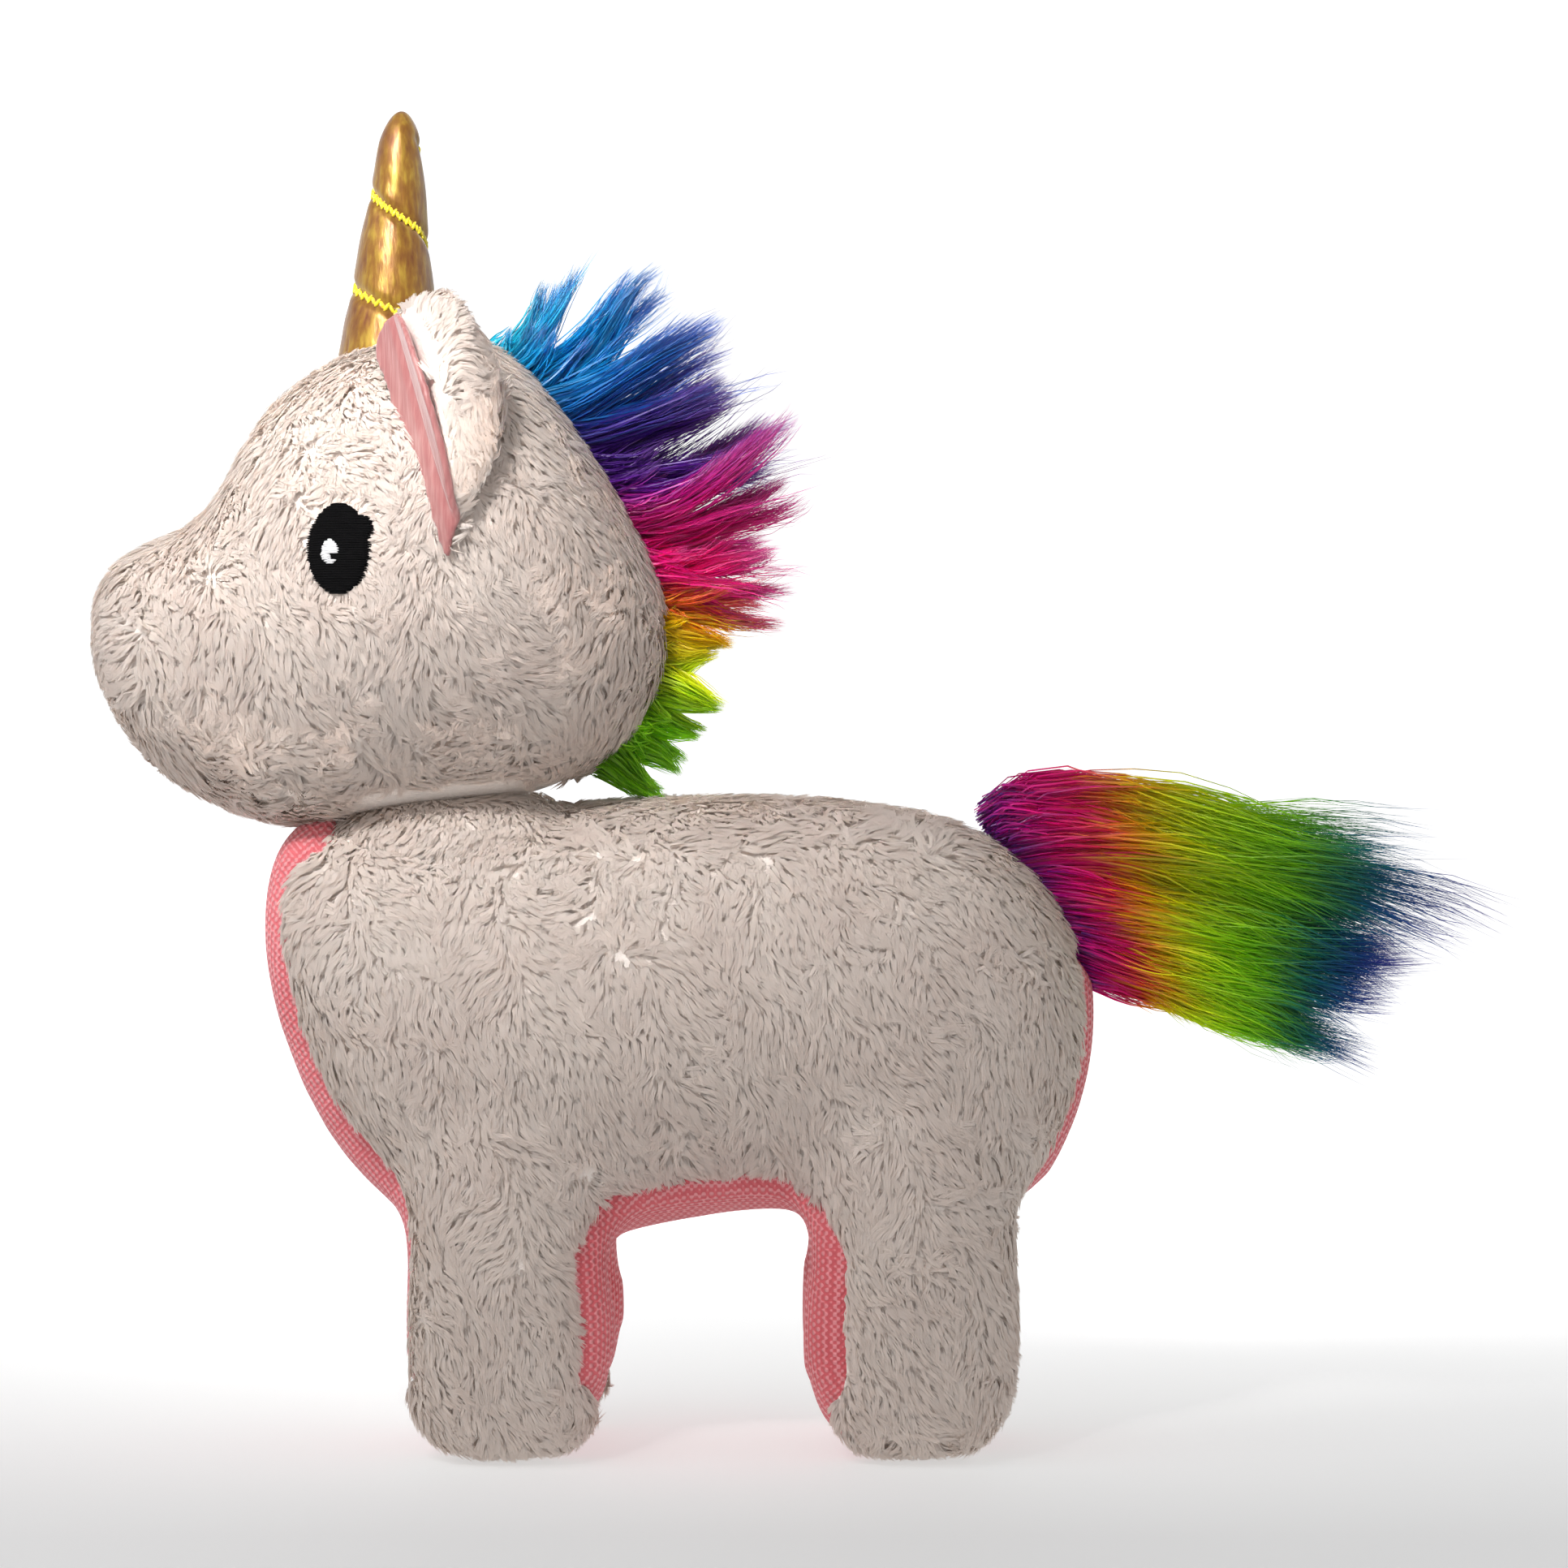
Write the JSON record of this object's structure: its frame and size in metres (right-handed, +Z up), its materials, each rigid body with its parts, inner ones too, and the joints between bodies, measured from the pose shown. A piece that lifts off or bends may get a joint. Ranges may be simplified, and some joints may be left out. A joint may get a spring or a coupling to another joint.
{
  "type": "plush unicorn",
  "caption": "Standing plush unicorn with short white fur, pink underside gusset, gold spiral-stitched horn, embroidered eyes and rainbow mane and tail.",
  "frame": {"origin": "centre of the bounding box at floor level, under the belly on the middle plane", "axes": "+Z up, -Y towards the nose, +Y towards the tail, +X the unicorn's left side"},
  "size_m": [0.0976, 0.257, 0.25],
  "materials": {
    "white_plush": "short sherpa plush in fine tufts, matt with a soft sheen",
    "gusset_pink": "pink woven polyester with a small raised glossy dot weave",
    "stuffing": "polyester fibre filling",
    "eye_black": "black satin-stitch embroidery",
    "eye_white": "white satin-stitch embroidery",
    "ear_satin": "pale pink satin",
    "horn_satin": "gold brushed satin with a metallic sheen",
    "horn_thread": "yellow stitching thread",
    "mane_pile": "long rainbow faux-fur pile in pointed locks",
    "tail_pile": "long rainbow faux-fur pile in pointed locks",
    "pile_backing": "knitted backing of the long pile"
  },
  "bodies": {
    "torso": {"body_cover_left": "white_plush", "body_cover_right": "white_plush", "chest_gusset": "gusset_pink", "belly_gusset": "gusset_pink", "rump_gusset": "gusset_pink", "body_stuffing": "stuffing"},
    "neck": {"neck_stuffing": "stuffing"},
    "head": {"head_cover_left": "white_plush", "head_cover_right": "white_plush", "head_stuffing": "stuffing", "eye_left": "eye_black", "eye_right": "eye_black", "eye_glint_left": "eye_white", "eye_glint_right": "eye_white", "mane_backing": "pile_backing", "mane_pile": "mane_pile"},
    "horn": {"horn_cover": "horn_satin", "horn_stuffing": "stuffing", "horn_thread": "horn_thread"},
    "ear_left": {"ear_left_back": "white_plush", "ear_left_lining": "ear_satin"},
    "ear_right": {"ear_right_back": "white_plush", "ear_right_lining": "ear_satin"},
    "tail": {"tail_root": "pile_backing", "tail_backing": "pile_backing", "tail_pile": "tail_pile"},
    "front_left_leg": {"front_left_leg_cover": "white_plush", "front_left_leg_inner_panel": "gusset_pink", "front_left_leg_stuffing": "stuffing"},
    "front_right_leg": {"front_right_leg_cover": "white_plush", "front_right_leg_inner_panel": "gusset_pink", "front_right_leg_stuffing": "stuffing"},
    "hind_left_leg": {"hind_left_leg_cover": "white_plush", "hind_left_leg_inner_panel": "gusset_pink", "hind_left_leg_stuffing": "stuffing"},
    "hind_right_leg": {"hind_right_leg_cover": "white_plush", "hind_right_leg_inner_panel": "gusset_pink", "hind_right_leg_stuffing": "stuffing"}
  },
  "joints": [
    {"name": "neck_turn", "type": "hinge", "parent": "torso", "child": "neck", "pos_m": [0, -0.062, 0.112], "axis": [0, 0, 1], "range_deg": [-20, 20], "stiffness_Nm_per_rad": 0.35},
    {"name": "head_nod", "type": "hinge", "parent": "neck", "child": "head", "pos_m": [0, -0.062, 0.112], "axis": [1, 0, 0], "range_deg": [-12, 8], "stiffness_Nm_per_rad": 0.9},
    {"name": "horn_bend", "type": "hinge", "parent": "head", "child": "horn", "pos_m": [0, -0.0746, 0.205], "axis": [1, 0, 0], "range_deg": [-12, 12], "stiffness_Nm_per_rad": 0.05},
    {"name": "ear_left_fold", "type": "hinge", "parent": "head", "child": "ear_left", "pos_m": [0.0435, -0.0615, 0.166], "axis": [-0.3325, -0.2046, 0.9207], "range_deg": [-12, 10], "stiffness_Nm_per_rad": 0.03},
    {"name": "ear_right_fold", "type": "hinge", "parent": "head", "child": "ear_right", "pos_m": [-0.0435, -0.0615, 0.166], "axis": [0.3325, -0.2046, 0.9207], "range_deg": [-10, 12], "stiffness_Nm_per_rad": 0.03},
    {"name": "tail_swing", "type": "hinge", "parent": "torso", "child": "tail", "pos_m": [0, 0.04885, 0.104], "axis": [0, -0.529, 0.8486], "range_deg": [-32, 32], "stiffness_Nm_per_rad": 0.04},
    {"name": "front_left_leg_swing", "type": "hinge", "parent": "torso", "child": "front_left_leg", "pos_m": [0.02, -0.0515, 0.046], "axis": [1, 0, 0], "range_deg": [-12, 12], "stiffness_Nm_per_rad": 0.9},
    {"name": "front_right_leg_swing", "type": "hinge", "parent": "torso", "child": "front_right_leg", "pos_m": [-0.02, -0.0515, 0.046], "axis": [1, 0, 0], "range_deg": [-12, 12], "stiffness_Nm_per_rad": 0.9},
    {"name": "hind_left_leg_swing", "type": "hinge", "parent": "torso", "child": "hind_left_leg", "pos_m": [0.02, 0.0232, 0.046], "axis": [1, 0, 0], "range_deg": [-12, 12], "stiffness_Nm_per_rad": 0.9},
    {"name": "hind_right_leg_swing", "type": "hinge", "parent": "torso", "child": "hind_right_leg", "pos_m": [-0.02, 0.0232, 0.046], "axis": [1, 0, 0], "range_deg": [-12, 12], "stiffness_Nm_per_rad": 0.9}
  ]
}
